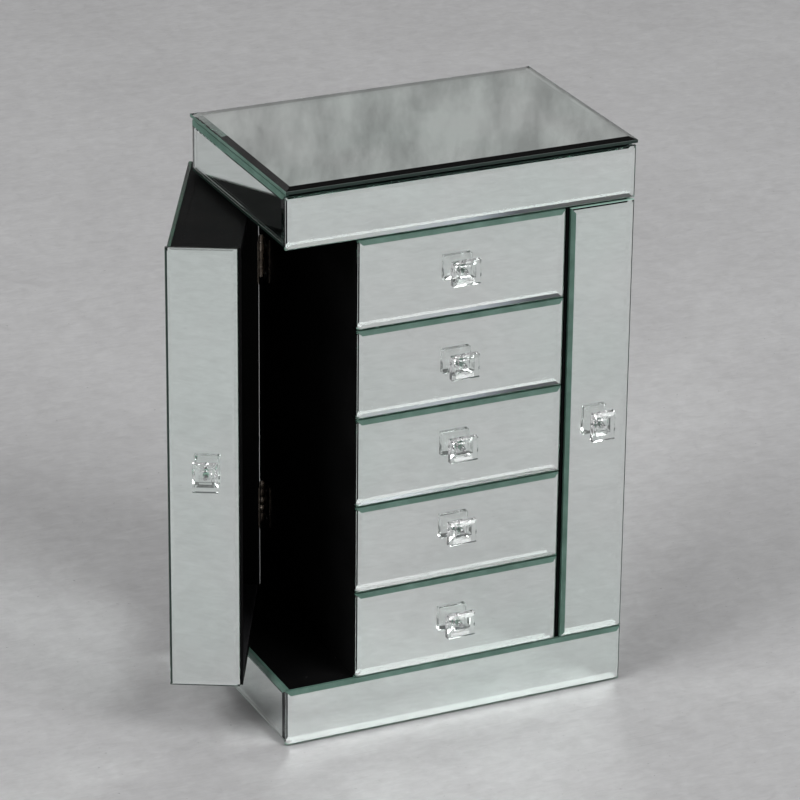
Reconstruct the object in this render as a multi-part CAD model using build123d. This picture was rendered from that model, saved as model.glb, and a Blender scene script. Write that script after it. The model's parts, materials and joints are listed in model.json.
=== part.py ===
from build123d import *
import os

# Mirrored jewellery chest: plinth, drawer case with five drawers, two box-shaped side doors that
# swing on the inner back corners, a tray in the frieze and a lift-up lid.
# Millimetres. Origin at the centre of the plinth's underside, front towards -Y, +Z up.

# ---------------------------------------------------------------- driving dimensions
WIDTH = 260.0
DEPTH = 168.0
BASE_TOP = 42.8              # top of the plinth
FRIEZE_BOTTOM = 370.2        # underside of the tray box
FRIEZE_TOP = 407.6           # top edge of the frieze mirrors
HEIGHT = 413.8               # top of the lid's glass

GLASS = 4.0                  # mirror glass
BEVEL_WIDTH = 4.0            # bevel on the panels, seen from the front
BEVEL_DROP = 1.4             # how far the bevel falls away
SLAB_BEVEL_WIDTH = 5.0       # wider bevel on the lid's glass
SLAB_BEVEL_DROP = 1.6
SLAB_OVERHANG = 0.3          # lid glass past the frieze at the front and sides

BOARD = 6.0                  # structural boards
THIN_BOARD = 3.0             # drawer bottoms and shelves
FELT = 1.0
VELVET = 1.2

DRAWERS = 5
FRONT_GAP = 1.2              # gap above each drawer front
BASE_GAP = 0.5               # gap between the plinth and the lowest drawer and the doors
FRONT_HALF = 77.4            # half the width of a drawer front
CASE_HALF = 76.9             # outer faces of the upright boards
DOOR_INNER = 79.6            # inner side of a closed door, from the centre plane
DOOR_MIRROR_INSET = 2.0      # black edge of the door's front board beside its mirror
DOOR_TOP_GAP = 1.8
LEFT_DOOR_OPEN = 27.0        # degrees that the left door stands open

# Butt hinges of the doors and the lid
HINGE_LENGTH = 32.0
LEAF = 1.0
LEAF_WIDTH = 14.0
KNUCKLE_R = 1.35
PIN_R = 0.66
PIN_CLEARANCE = 0.06
KNUCKLES = 5                 # barrel segments, odd ones on the fixed leaf
SEGMENT_GAP = 0.2
DOOR_HINGE_Z = (109.5, 299.5)
LID_HINGE_X = (-70.0, 70.0)

# Oblong crystal knob, lying on the drawers and standing on the doors
KNOB_LONG = 21.0
KNOB_SHORT = 17.5
KNOB_NECK = 8.0
KNOB_CHAMFER = 2.0
KNOB_STEPS = (1.4, 3.0, 6.9, 8.7)    # neck, taper, block and chamfer end this far from the mirror
DRAWER_KNOB_DROP = (0.0, 3.3, -0.3, -3.1, 3.1)   # below the middle of drawers 1 to 5
DOOR_KNOB_X = {-1: 103.7, 1: 107.6}  # left and right door, from the centre plane
DOOR_KNOB_DROP = {-1: 1.5, 1: 0.6}
SCREW_R = 1.5
SCREW_HOLE_R = 1.9
SCREW_HEAD_R = 3.4
SCREW_HEAD = 2.0
SCREW_BITE = 5.0             # how deep the screw goes into the crystal

# ---------------------------------------------------------------- derived dimensions
HALF = WIDTH / 2
FRONT = -DEPTH / 2
BACK = DEPTH / 2
SKIN = FRONT + GLASS                    # back of the front mirrors
INNER_FRONT = SKIN + BOARD              # back of the front boards
SIDE_SKIN = HALF - GLASS                # inner face of the side mirrors
CASE_INNER = CASE_HALF - BOARD

DRAWER_BOTTOM = BASE_TOP + BASE_GAP
DRAWER_PITCH = (FRIEZE_BOTTOM - DRAWER_BOTTOM) / DRAWERS
DRAWER_FRONT = DRAWER_PITCH - FRONT_GAP
DRAWER_SIDE_CLEARANCE = 1.0
DRAWER_FLOOR_CLEARANCE = 0.3
DRAWER_WALL = 5.0
DRAWER_SIDE_HEIGHT = 50.0
DRAWER_BACK = BACK - 7.0
DRAWER_LINING_DROP = 8.0                # lining ends this far below the top of the drawer sides
SHELF_RISE = 0.4                        # shelf top above the bottom edge of the drawer front

DOOR_BOTTOM = BASE_TOP + BASE_GAP
DOOR_TOP = FRIEZE_BOTTOM - DOOR_TOP_GAP
DOOR_CENTRE_X = (DOOR_INNER + HALF) / 2
STILE = 12.0
LINING_FRONT = INNER_FRONT + SCREW_HEAD + 0.2   # side linings start behind the knob screw's head

AXIS_X = (CASE_HALF + DOOR_INNER) / 2   # door hinge axes stand at +-AXIS_X, AXIS_Y
AXIS_Y = BACK - KNUCKLE_R

LID_BOTTOM = HEIGHT - GLASS - BOARD
LID_CLEARANCE = 1.0
TRAY_WALL_TOP = LID_BOTTOM - 0.1
TRAY_FLOOR = FRIEZE_BOTTOM + 5.0
LID_KNUCKLE_R = 1.6
LID_AXIS_Y = BACK - 2.6
LID_AXIS_Z = TRAY_WALL_TOP + 2.1
LID_LEAF = 0.8
LID_BOARD_BACK = BACK - 5.1             # the lid board stops in front of its hinges
HINGE_EASE = 0.3                        # clearance between hinge pieces that move past each other

os.makedirs("parts", exist_ok=True)


# ---------------------------------------------------------------- helpers
def block(x0, x1, y0, y1, z0, z1):
    """Box between two corners."""
    size = Box(x1 - x0, y1 - y0, z1 - z0)
    return Pos((x0 + x1) / 2, (y0 + y1) / 2, (z0 + z1) / 2) * size


def rod(radius, start, direction, length):
    """Cylinder from a start point along a direction."""
    return Solid.make_cylinder(radius, length, Plane(origin=start, z_dir=direction))


def as_list(shapes):
    return list(shapes) if isinstance(shapes, (list, tuple)) else [shapes]


def save(node, shapes):
    """One STEP file per node; a node may hold several separate solids."""
    solids = [solid for shape in as_list(shapes) for solid in shape.solids()]
    body = solids[0] if len(solids) == 1 else Compound(solids)
    export_step(body, f"parts/{node}.step")


def profile_prism(profile, reach):
    """Prism along Y whose section is the (half width, height) points and their mirror image."""
    outline = list(profile) + [(-w, z) for w, z in reversed(profile)]
    face = make_face(Polyline(outline, close=True))
    return extrude(Plane.XZ * face, reach, both=True)


def bevelled_panel(width, height, thickness=GLASS, bevel=BEVEL_WIDTH, drop=BEVEL_DROP):
    """Glass panel lying on Z = 0 with a mitred bevel round its upper face."""
    def prism(size, length):
        half = size / 2
        profile = [(half, 0), (half, thickness - drop), (half - bevel, thickness)]
        return profile_prism(profile, length / 2 + 1)
    return prism(width, height) & (Rot(Z=90) * prism(height, width))


def front_panel(x0, x1, z0, z1):
    """Bevelled mirror on the front of the chest."""
    return Pos((x0 + x1) / 2, SKIN, (z0 + z1) / 2) * Rot(X=90) * bevelled_panel(x1 - x0, z1 - z0)


def side_panel(side, z0, z1):
    """Bevelled mirror on one side, from the back of the front mirror to the back of the chest."""
    panel = Rot(Z=90 * side) * Rot(X=90) * bevelled_panel(BACK - SKIN, z1 - z0)
    return Pos(side * SIDE_SKIN, (SKIN + BACK) / 2, (z0 + z1) / 2) * panel


def knob(x, z, wide, tall):
    """Oblong crystal knob on the front plane, with a blind hole for its screw."""
    neck, taper, block_end, front = KNOB_STEPS

    def prism(size):
        half = size / 2
        profile = [(KNOB_NECK / 2, 0), (KNOB_NECK / 2, neck), (half, taper), (half, block_end),
                   (half - KNOB_CHAMFER, front)]
        return profile_prism(profile, KNOB_LONG)
    crystal = prism(wide) & (Rot(Z=90) * prism(tall))
    crystal -= rod(SCREW_R + 0.05, (0, 0, -0.5), (0, 0, 1), SCREW_BITE + 0.8)
    return Pos(x, FRONT, z) * Rot(X=90) * crystal


def knob_screw(x, z):
    """Slotted screw from inside, through the front board and the mirror into the knob."""
    head_back = INNER_FRONT + SCREW_HEAD
    shank = rod(SCREW_R, (x, INNER_FRONT + 0.5, z), (0, -1, 0), INNER_FRONT + 0.5 - FRONT + SCREW_BITE)
    head = rod(SCREW_HEAD_R, (x, head_back, z), (0, -1, 0), SCREW_HEAD)
    slot = block(x - SCREW_HEAD_R, x + SCREW_HEAD_R, head_back - 0.8, head_back + 1, z - 0.4, z + 0.4)
    return head + shank - slot


def knob_hole(x, z):
    return rod(SCREW_HOLE_R, (x, FRONT - 1, z), (0, 1, 0), INNER_FRONT - FRONT + 2)


def knuckle_spans(centre, owner):
    """Start and end of each barrel segment that belongs to a leaf: 0 fixed, 1 moving."""
    pitch = HINGE_LENGTH / KNUCKLES
    start = centre - HINGE_LENGTH / 2
    spans = [(start + i * pitch, start + (i + 1) * pitch) for i in range(KNUCKLES) if i % 2 == owner]
    return [(low + SEGMENT_GAP / 2, high - SEGMENT_GAP / 2) for low, high in spans]


def door_leaf(side, z, owner):
    """One leaf of a door's butt hinge, closed: owner 0 on the case side, 1 on the door's stile."""
    outer = CASE_HALF if owner == 0 else DOOR_INNER - LEAF
    x0, x1 = sorted((side * outer, side * (outer + LEAF)))
    centre_x = side * AXIS_X
    low = z - HINGE_LENGTH / 2
    leaf = block(x0, x1, AXIS_Y - LEAF_WIDTH, AXIS_Y - KNUCKLE_R - 0.4, low, low + HINGE_LENGTH)
    for z0, z1 in knuckle_spans(z, owner):
        leaf += block(x0, x1, AXIS_Y - KNUCKLE_R - 1, AXIS_Y, z0, z1)
        leaf += rod(KNUCKLE_R, (centre_x, AXIS_Y, z0), (0, 0, 1), z1 - z0)
    for hole_z in (z - HINGE_LENGTH / 3, z + HINGE_LENGTH / 3):
        leaf -= rod(1.2, (centre_x - 3, AXIS_Y - 0.6 * LEAF_WIDTH, hole_z), (1, 0, 0), 6)
    return leaf - rod(PIN_R + PIN_CLEARANCE, (centre_x, AXIS_Y, low - 1), (0, 0, 1), HINGE_LENGTH + 2)


def lid_leaf(x, owner):
    """One leaf of a lid hinge: owner 0 lies on the back wall, 1 stands on the lid board's edge."""
    low = x - HINGE_LENGTH / 2
    high = x + HINGE_LENGTH / 2
    if owner == 0:
        leaf = block(low, high, LID_BOARD_BACK + HINGE_EASE, BACK - HINGE_EASE,
                     TRAY_WALL_TOP, TRAY_WALL_TOP + LID_LEAF)
    else:
        leaf = block(low, high, LID_BOARD_BACK, LID_BOARD_BACK + LEAF,
                     TRAY_WALL_TOP + LID_LEAF + 0.2, HEIGHT - GLASS - HINGE_EASE)
    for x0, x1 in knuckle_spans(x, 1 - owner):
        room = (x1 - x0) + 2 * SEGMENT_GAP
        leaf -= rod(LID_KNUCKLE_R + HINGE_EASE, (x0 - SEGMENT_GAP, LID_AXIS_Y, LID_AXIS_Z), (1, 0, 0), room)
    for x0, x1 in knuckle_spans(x, owner):
        leaf += rod(LID_KNUCKLE_R, (x0, LID_AXIS_Y, LID_AXIS_Z), (1, 0, 0), x1 - x0)
        if owner == 1:
            leaf += block(x0, x1, LID_BOARD_BACK, LID_AXIS_Y, LID_AXIS_Z - LEAF / 2, LID_AXIS_Z + LEAF / 2)
    pin = rod(PIN_R + PIN_CLEARANCE, (low - 1, LID_AXIS_Y, LID_AXIS_Z), (1, 0, 0), HINGE_LENGTH + 2)
    return leaf - pin


def open_left(shape):
    """Turn a closed left-door piece to where the door stands."""
    axis = Axis((-AXIS_X, AXIS_Y, 0), (0, 0, 1))
    return shape.rotate(axis, -LEFT_DOOR_OPEN)


# ---------------------------------------------------------------- carcass
def base():
    inner = SIDE_SKIN
    low = FELT
    top_board = block(-inner, inner, SKIN, BACK, BASE_TOP - BOARD, BASE_TOP)
    floor_board = block(-inner, inner, SKIN, BACK, low, low + BOARD)
    wall_low = low + BOARD
    wall_high = BASE_TOP - BOARD
    walls = [
        block(-inner, inner, SKIN, SKIN + BOARD, wall_low, wall_high),
        block(-inner, inner, BACK - BOARD, BACK, wall_low, wall_high),
        block(-inner, -inner + BOARD, SKIN + BOARD, BACK - BOARD, wall_low, wall_high),
        block(inner - BOARD, inner, SKIN + BOARD, BACK - BOARD, wall_low, wall_high),
    ]
    save("base_boards", [top_board, floor_board] + walls)
    save("base_felt", block(-HALF + 5, HALF - 5, FRONT + 5, BACK - 4, 0, FELT))
    save("base_mirror_front", front_panel(-HALF, HALF, FELT, BASE_TOP))
    save("base_mirror_sides", [side_panel(side, FELT, BASE_TOP) for side in (-1, 1)])


def drawer_case():
    sides = [block(*sorted((side * CASE_INNER, side * CASE_HALF)), INNER_FRONT + 0.4,
                   BACK - 2 * KNUCKLE_R, BASE_TOP, FRIEZE_BOTTOM) for side in (-1, 1)]
    save("case_sides", sides)

    # The back panel's edges are rounded about the door hinge axes, so no light passes there,
    # and cut away where the hinge barrels stand.
    panel = block(-AXIS_X, AXIS_X, BACK - 2 * KNUCKLE_R, BACK, BASE_TOP, FRIEZE_BOTTOM)
    for side in (-1, 1):
        panel += rod(KNUCKLE_R, (side * AXIS_X, AXIS_Y, BASE_TOP), (0, 0, 1), FRIEZE_BOTTOM - BASE_TOP)
        for z in DOOR_HINGE_Z:
            reach = HINGE_LENGTH / 2 + HINGE_EASE
            x0, x1 = sorted((side * (CASE_HALF - 0.2), side * (DOOR_INNER + 1)))
            panel -= block(x0, x1, BACK - 4, BACK + 1, z - reach, z + reach)
    save("case_back", panel)

    shelves = []
    for i in range(DRAWERS):
        top = DRAWER_BOTTOM + i * DRAWER_PITCH + SHELF_RISE
        low = max(top - THIN_BOARD, BASE_TOP)
        shelves.append(block(-CASE_INNER, CASE_INNER, INNER_FRONT + 1, BACK - 2 * KNUCKLE_R, low, top))
    save("drawer_shelves", shelves)


def frieze():
    inner = SIDE_SKIN
    floor = block(-inner, inner, SKIN, BACK, FRIEZE_BOTTOM, TRAY_FLOOR)
    walls = [
        block(-inner, inner, SKIN, SKIN + BOARD, TRAY_FLOOR, TRAY_WALL_TOP),
        block(-inner, inner, BACK - BOARD, BACK, TRAY_FLOOR, TRAY_WALL_TOP),
        block(-inner, -inner + BOARD, SKIN + BOARD, BACK - BOARD, TRAY_FLOOR, TRAY_WALL_TOP),
        block(inner - BOARD, inner, SKIN + BOARD, BACK - BOARD, TRAY_FLOOR, TRAY_WALL_TOP),
    ]
    save("frieze_boards", [floor] + walls)
    save("frieze_mirror_front", front_panel(-HALF, HALF, FRIEZE_BOTTOM, FRIEZE_TOP))
    save("frieze_mirror_sides", [side_panel(side, FRIEZE_BOTTOM, FRIEZE_TOP) for side in (-1, 1)])


# ---------------------------------------------------------------- top tray
TRAY_X = SIDE_SKIN - BOARD
TRAY_Y0 = INNER_FRONT
TRAY_Y1 = BACK - BOARD
PARTITION_X = 30.0
PARTITION = 3.0
PARTITION_DROP = 4.0                    # partitions stay this far below the tray's walls
ROLLS = 8
ROLL_HEIGHT = 17.0
ROLL_GAP = 0.4


def tray():
    floor_top = TRAY_FLOOR + VELVET
    wall_top = TRAY_WALL_TOP - PARTITION_DROP
    floor = block(-TRAY_X, TRAY_X, TRAY_Y0, TRAY_Y1, TRAY_FLOOR, floor_top)
    partition = block(PARTITION_X, PARTITION_X + PARTITION, TRAY_Y0, TRAY_Y1, floor_top, wall_top)
    middle = (TRAY_Y0 + TRAY_Y1) / 2
    cross = block(PARTITION_X + PARTITION, TRAY_X, middle - PARTITION / 2, middle + PARTITION / 2,
                  floor_top, wall_top)
    save("tray_insert", [floor, partition, cross])

    pitch = (TRAY_Y1 - TRAY_Y0) / ROLLS
    rolls = []
    for i in range(ROLLS):
        y0 = TRAY_Y0 + i * pitch + ROLL_GAP / 2
        roll = block(-TRAY_X + ROLL_GAP, PARTITION_X - ROLL_GAP, y0, y0 + pitch - ROLL_GAP,
                     floor_top, floor_top + ROLL_HEIGHT)
        top_edges = roll.edges().filter_by(Axis.X).group_by(Axis.Z)[-1]
        rolls.append(fillet(top_edges, pitch * 0.4))
    save("ring_rolls", rolls)


# ---------------------------------------------------------------- drawers
def drawer(number):
    """Drawer 1 is the uppermost."""
    z0 = DRAWER_BOTTOM + (DRAWERS - number) * DRAWER_PITCH
    z1 = z0 + DRAWER_FRONT
    knob_z = (z0 + z1) / 2 - DRAWER_KNOB_DROP[number - 1]
    hole = knob_hole(0, knob_z)
    name = f"drawer_{number}"
    save(f"{name}_mirror", front_panel(-FRONT_HALF, FRONT_HALF, z0, z1) - hole)

    outer = CASE_INNER - DRAWER_SIDE_CLEARANCE
    inner = outer - DRAWER_WALL
    floor = z0 + SHELF_RISE + DRAWER_FLOOR_CLEARANCE
    wall_top = floor + DRAWER_SIDE_HEIGHT
    front_board = block(-FRONT_HALF, FRONT_HALF, SKIN, INNER_FRONT, z0, z1) - hole
    bottom = block(-inner, inner, INNER_FRONT, DRAWER_BACK - DRAWER_WALL, floor, floor + THIN_BOARD)
    back = block(-inner, inner, DRAWER_BACK - DRAWER_WALL, DRAWER_BACK, floor, wall_top)
    walls = [block(*sorted((side * inner, side * outer)), INNER_FRONT, DRAWER_BACK, floor, wall_top)
             for side in (-1, 1)]
    save(f"{name}_box", [front_board, bottom, back] + walls)

    lining_y1 = DRAWER_BACK - DRAWER_WALL
    lining_floor = floor + THIN_BOARD
    lining_top = wall_top - DRAWER_LINING_DROP
    lining = [block(-inner, inner, INNER_FRONT, lining_y1, lining_floor, lining_floor + VELVET)]
    lining_low = lining_floor + VELVET
    lining.append(block(-inner + VELVET, inner - VELVET, lining_y1 - VELVET, lining_y1,
                        lining_low, lining_top))
    for side in (-1, 1):
        x0, x1 = sorted((side * (inner - VELVET), side * inner))
        lining.append(block(x0, x1, LINING_FRONT, lining_y1, lining_low, lining_top))
    save(f"{name}_lining", lining)
    save(f"{name}_knob", knob(0, knob_z, KNOB_LONG, KNOB_SHORT))
    save(f"{name}_knob_screw", knob_screw(0, knob_z))


# ---------------------------------------------------------------- side doors
HOOKS = 3
HOOK_WIRE = 1.1
HOOK_BEND = 4.5
HOOK_STEM = 9.0
HOOK_TIP = 3.0
HOOK_SPACING = 38.0
RAIL = 4.0                              # height and half the width of the hook rail
RAIL_SPAN = (-56.0, 50.0)
RAIL_INSET = 2.0                        # rail towards the open side from the middle of the door


def necklace_hook(x, y, z):
    """Cup hook below (x, y, z): a stem, half a ring and a short upright tip."""
    bend_z = z - HOOK_STEM
    stem = rod(HOOK_WIRE, (x, y, z), (0, 0, -1), HOOK_STEM)
    ring = Solid.make_torus(HOOK_BEND, HOOK_WIRE, Plane(origin=(x, y - HOOK_BEND, bend_z),
                                                         z_dir=(1, 0, 0)))
    room = 2 * HOOK_WIRE
    below = block(x - room, x + room, y - 2 * HOOK_BEND - room, y + room,
                  bend_z - HOOK_BEND - room, bend_z)
    tip_start = (x, y - 2 * HOOK_BEND, bend_z)
    tip = rod(HOOK_WIRE, tip_start, (0, 0, 1), HOOK_TIP)
    end = Pos(*tip_start) * Pos(0, 0, HOOK_TIP) * Sphere(HOOK_WIRE)
    return stem + (ring & below) + tip + end


def door_pieces(side):
    """Closed door on one side, as a dictionary of node suffix to solids."""
    inner = DOOR_INNER
    outer = SIDE_SKIN
    low, high = DOOR_BOTTOM, DOOR_TOP
    knob_x = side * DOOR_KNOB_X[side]
    knob_z = (low + high) / 2 - DOOR_KNOB_DROP[side]
    hole = knob_hole(knob_x, knob_z)

    def across(x0, x1, *rest):
        return block(*sorted((side * x0, side * x1)), *rest)

    back_end = AXIS_X + KNUCKLE_R + HINGE_EASE
    boards = [
        across(inner, outer, SKIN, INNER_FRONT, low, high) - hole,
        across(outer - BOARD, outer, INNER_FRONT, BACK, low, high),
        across(back_end, outer - BOARD, BACK - BOARD, BACK, low, high),
        across(inner, outer - BOARD, INNER_FRONT, BACK - BOARD, high - BOARD, high),
        across(inner, outer - BOARD, INNER_FRONT, BACK - BOARD, low, low + BOARD),
    ]
    stile_y = BACK - BOARD - STILE
    boards.append(across(inner, inner + STILE, stile_y, BACK - BOARD, low + BOARD, high - BOARD))

    wall = outer - BOARD
    lining = [
        across(wall - VELVET, wall, LINING_FRONT, BACK - BOARD, low + BOARD + VELVET, high - BOARD),
        across(inner + 0.5, wall, LINING_FRONT, stile_y, low + BOARD, low + BOARD + VELVET),
        across(inner + STILE, wall - VELVET, BACK - BOARD - VELVET, BACK - BOARD,
               low + BOARD + VELVET, high - BOARD),
    ]

    rail_x = DOOR_CENTRE_X - RAIL_INSET
    rail_low = high - BOARD - RAIL
    hooks = across(rail_x - RAIL, rail_x + RAIL, *RAIL_SPAN, rail_low, high - BOARD)
    for i in range(HOOKS):
        hooks += necklace_hook(side * rail_x, (i - 1) * HOOK_SPACING, rail_low + 0.5)

    x0, x1 = sorted((side * (inner + DOOR_MIRROR_INSET), side * HALF))
    mirror_front = front_panel(x0, x1, low, high) - hole
    return {
        "mirror_front": mirror_front,
        "mirror_side": side_panel(side, low, high),
        "box": boards,
        "lining": lining,
        "hooks": hooks,
        "hinge_leaves": [door_leaf(side, z, 1) for z in DOOR_HINGE_Z],
        "knob": knob(knob_x, knob_z, KNOB_SHORT, KNOB_LONG),
        "knob_screw": knob_screw(knob_x, knob_z),
    }


def doors():
    for suffix, shapes in door_pieces(-1).items():
        save(f"left_door_{suffix}", [open_left(shape) for shape in as_list(shapes)])
    for suffix, shapes in door_pieces(1).items():
        save(f"right_door_{suffix}", shapes)


# ---------------------------------------------------------------- lid and hinges
def lid():
    slab_x = HALF + SLAB_OVERHANG
    slab_front = FRONT - SLAB_OVERHANG
    slab = bevelled_panel(2 * slab_x, BACK - slab_front, GLASS, SLAB_BEVEL_WIDTH, SLAB_BEVEL_DROP)
    save("lid_mirror", Pos(0, (slab_front + BACK) / 2, HEIGHT - GLASS) * slab)

    board_x = SIDE_SKIN - LID_CLEARANCE
    save("lid_board", block(-board_x, board_x, SKIN + LID_CLEARANCE, LID_BOARD_BACK,
                            LID_BOTTOM, HEIGHT - GLASS))
    lining_x = TRAY_X - 2
    save("lid_lining", block(-lining_x, lining_x, TRAY_Y0 + 2, TRAY_Y1 - 2, LID_BOTTOM - 1, LID_BOTTOM))
    save("lid_hinge_leaves", [lid_leaf(x, 1) for x in LID_HINGE_X])


def fixed_hinges():
    leaves = [door_leaf(side, z, 0) for side in (-1, 1) for z in DOOR_HINGE_Z]
    leaves += [lid_leaf(x, 0) for x in LID_HINGE_X]
    save("case_hinge_leaves", leaves)
    half = HINGE_LENGTH / 2
    pins = [rod(PIN_R, (side * AXIS_X, AXIS_Y, z - half), (0, 0, 1), HINGE_LENGTH)
            for side in (-1, 1) for z in DOOR_HINGE_Z]
    pins += [rod(PIN_R, (x - half, LID_AXIS_Y, LID_AXIS_Z), (1, 0, 0), HINGE_LENGTH) for x in LID_HINGE_X]
    save("hinge_pins", pins)


base()
drawer_case()
frieze()
tray()
for number in range(1, DRAWERS + 1):
    drawer(number)
doors()
lid()
fixed_hinges()
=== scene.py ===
import json
import math

import bmesh
import bpy
from mathutils import Matrix, Vector, noise


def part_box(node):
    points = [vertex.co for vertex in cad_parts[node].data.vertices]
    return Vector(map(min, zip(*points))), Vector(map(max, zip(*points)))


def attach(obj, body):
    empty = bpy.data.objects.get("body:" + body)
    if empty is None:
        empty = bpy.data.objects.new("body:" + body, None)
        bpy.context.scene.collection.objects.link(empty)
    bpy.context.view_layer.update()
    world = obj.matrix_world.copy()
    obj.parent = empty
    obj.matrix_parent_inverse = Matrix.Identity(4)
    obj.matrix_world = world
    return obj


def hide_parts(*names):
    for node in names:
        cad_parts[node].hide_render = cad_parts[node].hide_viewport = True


# Looks of the mirrored jewellery chest. Metres, in the CAD frame: front towards -Y, +Z up.
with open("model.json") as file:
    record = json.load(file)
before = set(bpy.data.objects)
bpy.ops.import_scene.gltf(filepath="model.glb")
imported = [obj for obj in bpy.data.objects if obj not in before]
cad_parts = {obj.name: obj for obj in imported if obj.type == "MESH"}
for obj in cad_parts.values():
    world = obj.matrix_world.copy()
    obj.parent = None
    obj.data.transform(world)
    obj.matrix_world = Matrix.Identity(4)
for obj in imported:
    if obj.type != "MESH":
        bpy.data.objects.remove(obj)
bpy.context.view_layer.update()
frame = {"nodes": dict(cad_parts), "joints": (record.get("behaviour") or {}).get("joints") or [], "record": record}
nodes = frame["nodes"]
MM = 0.001


# ---------------------------------------------------------------- material helpers
class Shader:
    """A node material with short calls for the nodes used here."""

    def __init__(self, name, **sockets):
        self.material = bpy.data.materials.new(name)
        self.material.use_nodes = True
        self.tree = self.material.node_tree
        self.tree.nodes.clear()
        self.out = self.tree.nodes.new("ShaderNodeOutputMaterial")
        self.bsdf = self.tree.nodes.new("ShaderNodeBsdfPrincipled")
        self.link(self.bsdf.outputs[0], self.out.inputs["Surface"])
        for socket, value in sockets.items():
            self.bsdf.inputs[socket.replace("_", " ")].default_value = value
        self.place = self.tree.nodes.new("ShaderNodeTexCoord").outputs["Object"]

    def link(self, source, target):
        self.tree.links.new(source, target)

    def node(self, kind, inputs=(), **settings):
        made = self.tree.nodes.new(kind)
        for key, value in settings.items():
            setattr(made, key, value)
        for key, value in dict(inputs).items():
            if isinstance(value, bpy.types.NodeSocket):
                self.link(value, made.inputs[key])
            else:
                made.inputs[key].default_value = value
        return made

    def scaled(self, x, y, z):
        """Object coordinates in metres times a scale for each axis."""
        mapping = self.node("ShaderNodeMapping", {"Vector": self.place, "Scale": (x, y, z)})
        return mapping.outputs[0]

    def noise(self, scale, detail=4.0, rough=0.55, vector=None, distortion=0.0):
        made = self.node("ShaderNodeTexNoise", {
            "Vector": vector or self.place, "Scale": scale, "Detail": detail, "Roughness": rough,
            "Distortion": distortion})
        return made.outputs["Fac"]

    def range(self, value, low, high, to_low, to_high):
        made = self.node("ShaderNodeMapRange", {
            "Value": value, "From Min": low, "From Max": high, "To Min": to_low, "To Max": to_high})
        return made.outputs[0]

    def mix(self, factor, first, second):
        made = self.node("ShaderNodeMix", data_type="RGBA")
        for key, value in ((0, factor), (6, first), (7, second)):
            if isinstance(value, bpy.types.NodeSocket):
                self.link(value, made.inputs[key])
            else:
                made.inputs[key].default_value = value
        return made.outputs[2]

    def maths(self, operation, first, second=0.0):
        made = self.node("ShaderNodeMath", {0: first, 1: second}, operation=operation)
        return made.outputs[0]

    def set(self, socket, source):
        self.link(source, self.bsdf.inputs[socket])

    def bump(self, height, distance, strength=1.0):
        made = self.node("ShaderNodeBump", {
            "Height": height, "Distance": distance, "Strength": strength})
        self.set("Normal", made.outputs[0])


def grey(value, alpha=1.0):
    return (value, value, value, alpha)


# ---------------------------------------------------------------- materials
GLASS_IOR = 1.52
CRYSTAL_IOR = 1.54
GLASS_DENSITY = 15.0         # how fast the glass takes up light on its way through
STONE_GRAIN = 2600           # noise scale of the grain that a grinding stone leaves
BOARD_GLOSS = 0.12
FLOCK_GLOSS = 0.02


def make_glass():
    """Polished float glass, slightly green in its body, with a faint film of smears. Faces marked
    ground are seamed with a stone: matt, with the stone's grain."""
    glass = Shader("mirror_glass", Transmission_Weight=1.0, IOR=GLASS_IOR,
                   Base_Color=(0.985, 1.0, 0.992, 1))
    smear = glass.noise(9, 5, 0.6, glass.scaled(1, 1, 0.45), 0.6)
    ground = glass.node("ShaderNodeAttribute", attribute_name="ground").outputs["Fac"]
    matt = glass.range(glass.noise(STONE_GRAIN, 3, 0.6), 0.3, 0.7, 0.14, 0.26)
    film = glass.range(smear, 0.60, 0.78, 0.0, 0.012)
    glass.set("Roughness", glass.node("ShaderNodeMix", {0: ground, 2: film, 3: matt}).outputs[0])
    body = glass.node("ShaderNodeVolumeAbsorption", {
        "Color": (0.62, 0.90, 0.80, 1), "Density": GLASS_DENSITY})
    glass.link(body.outputs[0], glass.out.inputs["Volume"])
    return glass.material


def make_edge(name, dark, light, fleck):
    """Opaque edge or rim of a pane, streaked along its length, with the stone's grain."""
    edge = Shader(name, IOR=GLASS_IOR)
    grain = edge.noise(STONE_GRAIN, 3, 0.6)
    run = edge.noise(60, 4, 0.6)
    tone = edge.mix(edge.range(run, 0.3, 0.7, 0.0, 1.0), dark, light)
    edge.set("Base Color", edge.mix(edge.range(grain, 0.6, 0.75, 0.0, 0.5), tone, fleck))
    edge.set("Roughness", edge.range(grain, 0.3, 0.7, 0.35, 0.60))
    return edge.material


def make_silver():
    """Silvering on the back of the glass, with the faint unevenness of the backing coat."""
    silver = Shader("silvering", Metallic=1.0, Roughness=0.0)
    cloud = silver.range(silver.noise(9, 3, 0.5), 0.38, 0.62, 0.0, 1.0)
    tone = silver.mix(cloud, (0.945, 0.935, 0.938, 1), (0.925, 0.950, 0.940, 1))
    silver.set("Base Color", tone)
    wave = silver.noise(14, 2, 0.5)
    silver.bump(wave, 0.00003, 0.35)
    return silver.material


def make_crystal():
    """Clear lead glass, polished but for a few hazy patches."""
    crystal = Shader("cut_crystal", Transmission_Weight=1.0, IOR=CRYSTAL_IOR,
                     Base_Color=(0.99, 1.0, 0.995, 1))
    polish = crystal.noise(700, 3, 0.5)
    crystal.set("Roughness", crystal.range(polish, 0.62, 0.8, 0.0, 0.02))
    return crystal.material


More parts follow.
